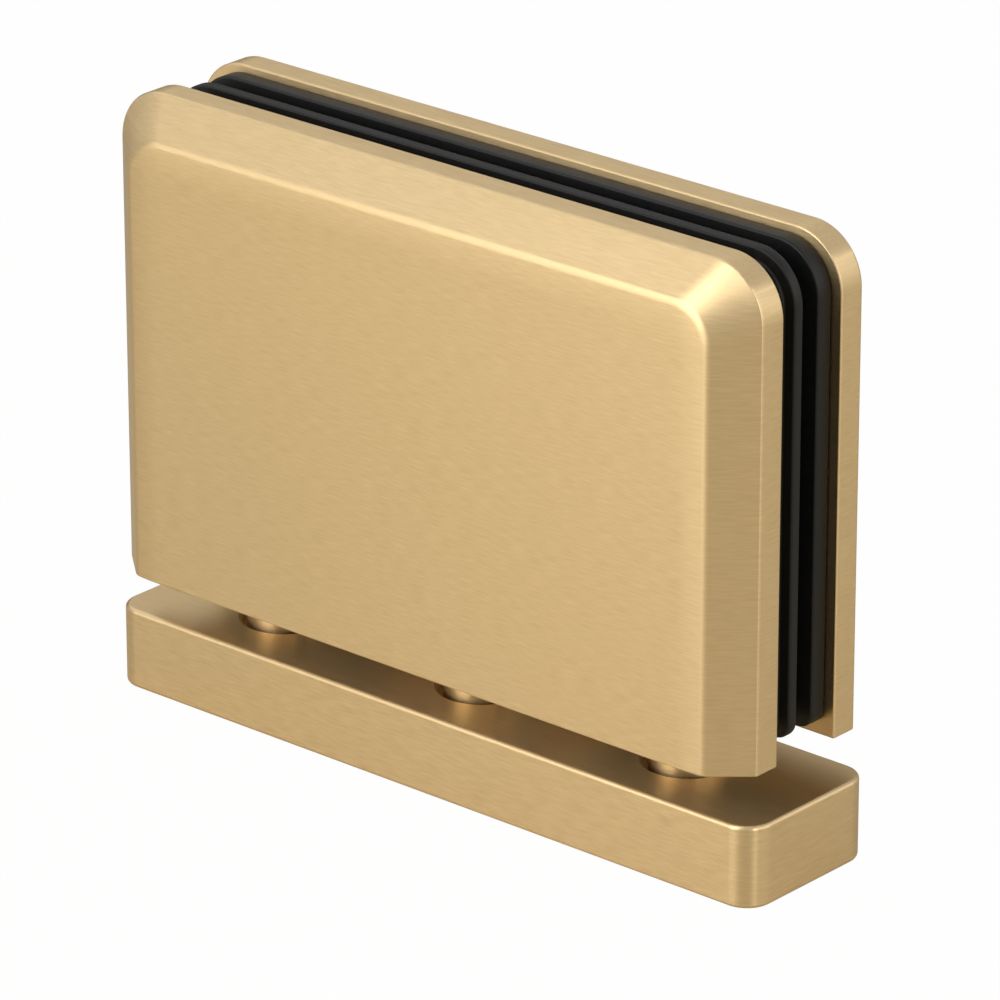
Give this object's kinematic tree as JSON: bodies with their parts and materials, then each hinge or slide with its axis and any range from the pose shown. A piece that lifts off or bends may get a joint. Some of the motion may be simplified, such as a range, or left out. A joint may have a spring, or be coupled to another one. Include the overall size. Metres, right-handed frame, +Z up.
{
  "type": "pivot hinge",
  "caption": "Floor-mounted pivot hinge in satin brass: bevelled plates on black gaskets clamp a glass door and turn on a spindle fixed in a slim base bar.",
  "frame": {"origin": "on the pivot axis, at the underside of the base bar", "axes": "+X along the base bar, +Y from the front plate to the back plate, +Z up along the pivot axis"},
  "size_m": [0.092, 0.0238, 0.0708],
  "materials": {
    "satin_brass": "satin, brushed along its length",
    "black_rubber": "slight sheen",
    "white_nylon": "matte",
    "steel": "satin"
  },
  "bodies": {
    "base": {"base_plate": "satin_brass", "pivot_spindle": "satin_brass", "hold_down_screw": "steel", "spindle_dowel": "steel", "thrust_washer": "white_nylon", "top_washer": "white_nylon", "retaining_ring": "steel", "fixing_sleeves": "satin_brass"},
    "leaf": {"pivot_block": "satin_brass", "lower_bush": "white_nylon", "upper_bush": "white_nylon", "friction_plug": "white_nylon", "friction_screw": "steel", "block_screws": "steel", "back_plate": "satin_brass", "back_gasket": "black_rubber", "clamp_screws": "steel", "clamp_sleeves": "white_nylon"},
    "front_clamp": {"front_plate": "satin_brass", "front_gasket": "black_rubber"}
  },
  "joints": [
    {"name": "door_swing", "type": "hinge", "parent": "base", "child": "leaf", "pos_m": [0, 0, 0.0148], "axis": [0, 0, 1], "range_deg": [-90, 90]},
    {"name": "clamp_draw", "type": "slide", "parent": "leaf", "child": "front_clamp", "axis": [0, -1, 0], "range_m": [0, 0.0036]}
  ]
}
